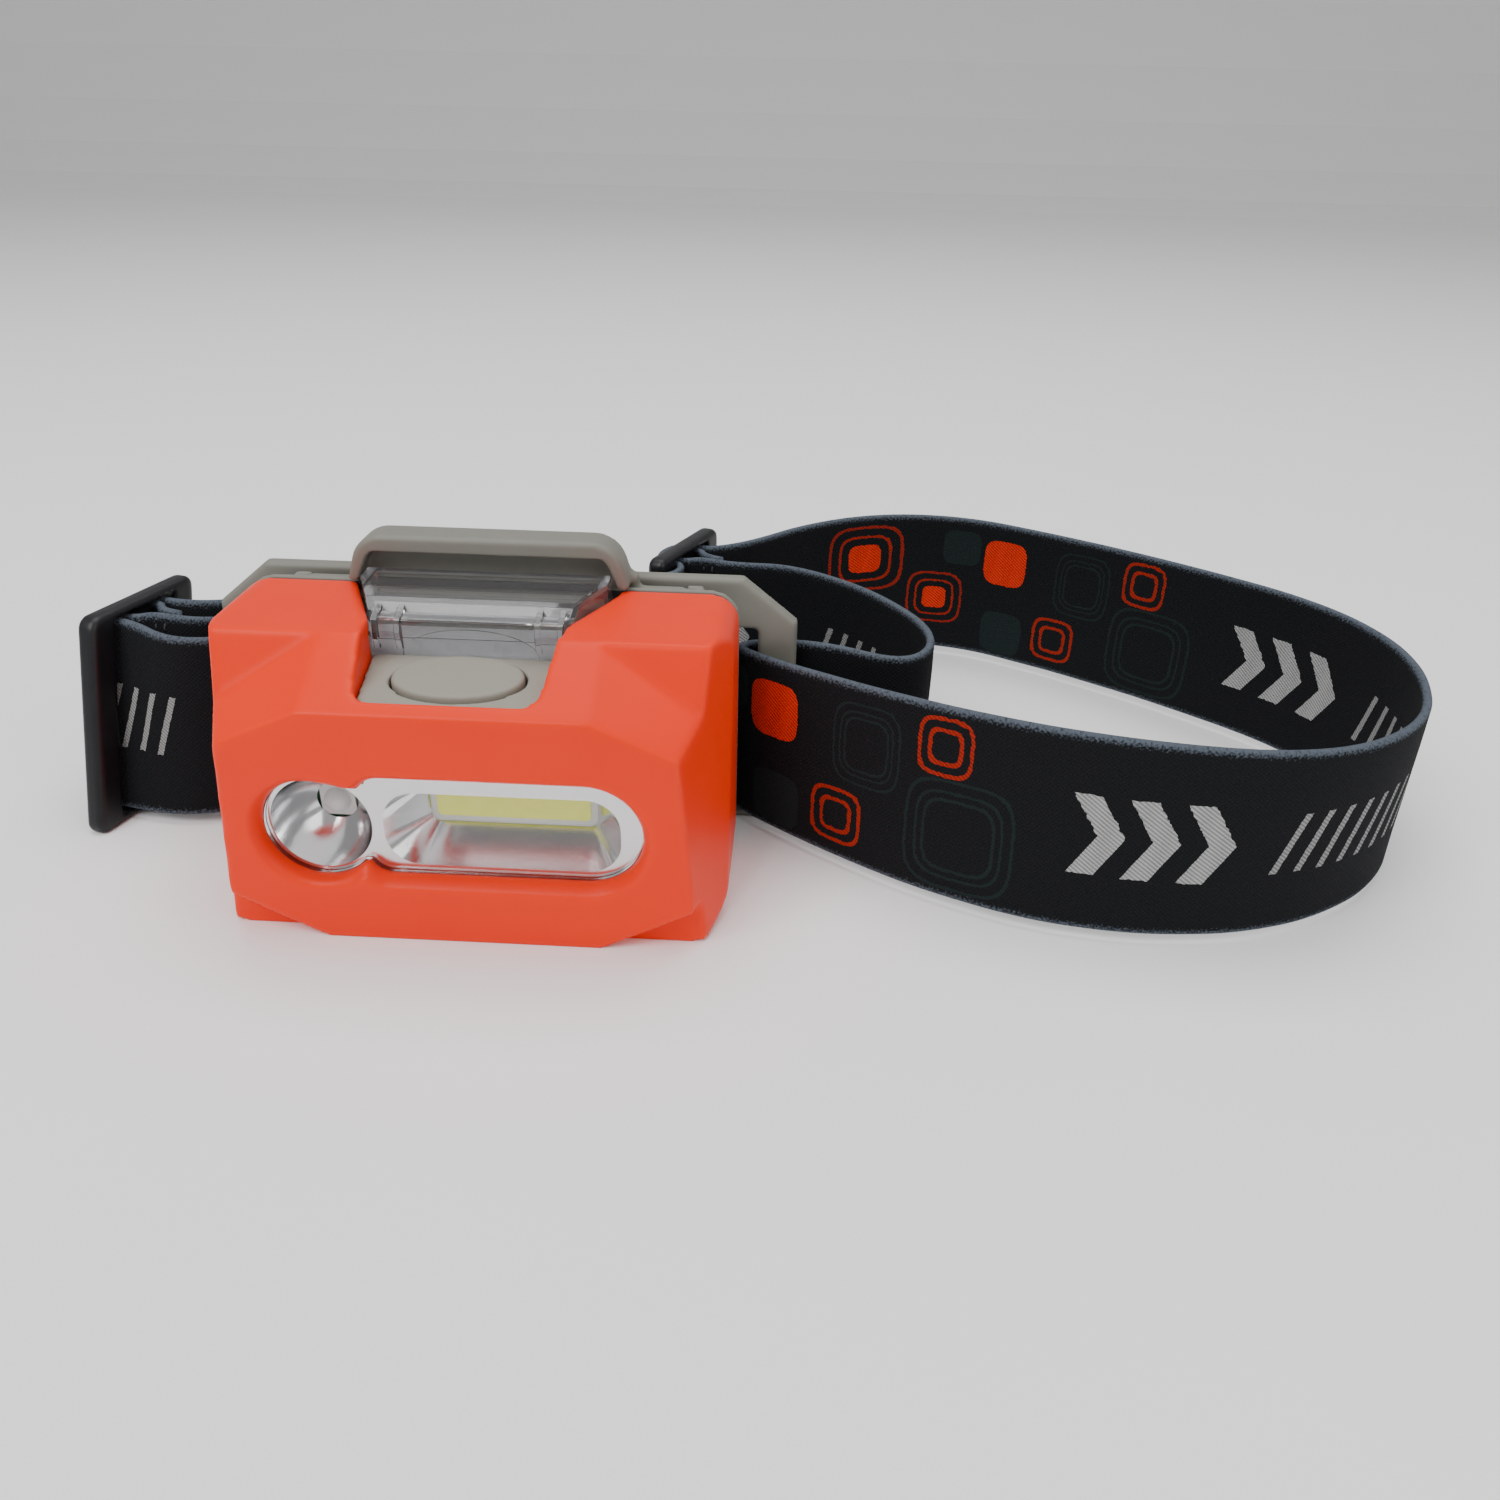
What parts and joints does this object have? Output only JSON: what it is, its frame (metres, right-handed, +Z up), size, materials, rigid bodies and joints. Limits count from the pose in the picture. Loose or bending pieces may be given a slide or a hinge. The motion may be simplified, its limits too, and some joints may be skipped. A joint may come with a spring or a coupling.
{
  "type": "headlamp",
  "caption": "Tilting headlamp with a spot and a wide light, a push button and a sliding battery cover, on an elastic strap with sliders.",
  "frame": {"origin": "middle of the lamp's underside, under the middle of its shell", "axes": "+Z up, -Y the way the lamp shines, +X to the right of someone looking at its front"},
  "size_m": [0.1875, 0.0968, 0.0438],
  "materials": {
    "shell_orange": "satin moulded, fine grain",
    "soft_grey": "soft-touch, fine texture",
    "grey_plastic": "fine moulded texture",
    "black_plastic": "satin",
    "clear_plastic": "clear moulded",
    "reflector_silver": "vacuum metallised",
    "contact_metal": "nickel plated",
    "steel": "plain",
    "board_green": "solder resist",
    "board_white": "white coated",
    "phosphor": "silicone over phosphor",
    "cell_sleeve": "printed sleeve",
    "wire_red": "insulation",
    "wire_black": "insulation",
    "gasket_rubber": "matt",
    "pad_foam": "brushed cloth over foam",
    "webbing": "woven elastic"
  },
  "bodies": {
    "strap_and_bracket": {"bracket": "grey_plastic", "hinge_pins": "steel", "tilt_washers": "gasket_rubber", "forehead_pad": "pad_foam", "strap_small_loop": "webbing", "strap_head_front": "webbing", "strap_head_back": "webbing", "strap_rear_run": "webbing", "strap_left": "webbing", "slider_left": "black_plastic", "slider_rear": "black_plastic"},
    "head": {"front_shell": "shell_orange", "front_lens": "clear_plastic", "reflector": "reflector_silver", "spot_led": "phosphor", "cob_plate": "board_white", "cob_phosphor": "phosphor", "light_board": "board_green", "switch_panel": "soft_grey", "main_board": "board_green", "tact_switch": "black_plastic", "clear_case": "clear_plastic", "contact_plates": "contact_metal", "contact_springs": "contact_metal", "shell_gasket": "gasket_rubber", "rear_housing": "grey_plastic", "housing_screws": "steel", "cell_1": "cell_sleeve", "cell_2": "cell_sleeve", "cell_3": "cell_sleeve", "lead_left": "wire_black", "lead_right": "wire_red"},
    "button": {"button": "soft_grey"},
    "battery_door": {"battery_door": "grey_plastic"}
  },
  "joints": [
    {"name": "head_tilt", "type": "hinge", "parent": "strap_and_bracket", "child": "head", "pos_m": [0, 0.0164, 0.004], "axis": [1, 0, 0], "range_deg": [0, 50]},
    {"name": "button_press", "type": "slide", "parent": "head", "child": "button", "axis": [0, 0, -1], "range_m": [0, 0.001], "stiffness_N_per_m": 600, "springref_m": -0.0008},
    {"name": "battery_door_slide", "type": "slide", "parent": "head", "child": "battery_door", "axis": [0, 0, 1], "range_m": [0, 0.03]}
  ]
}
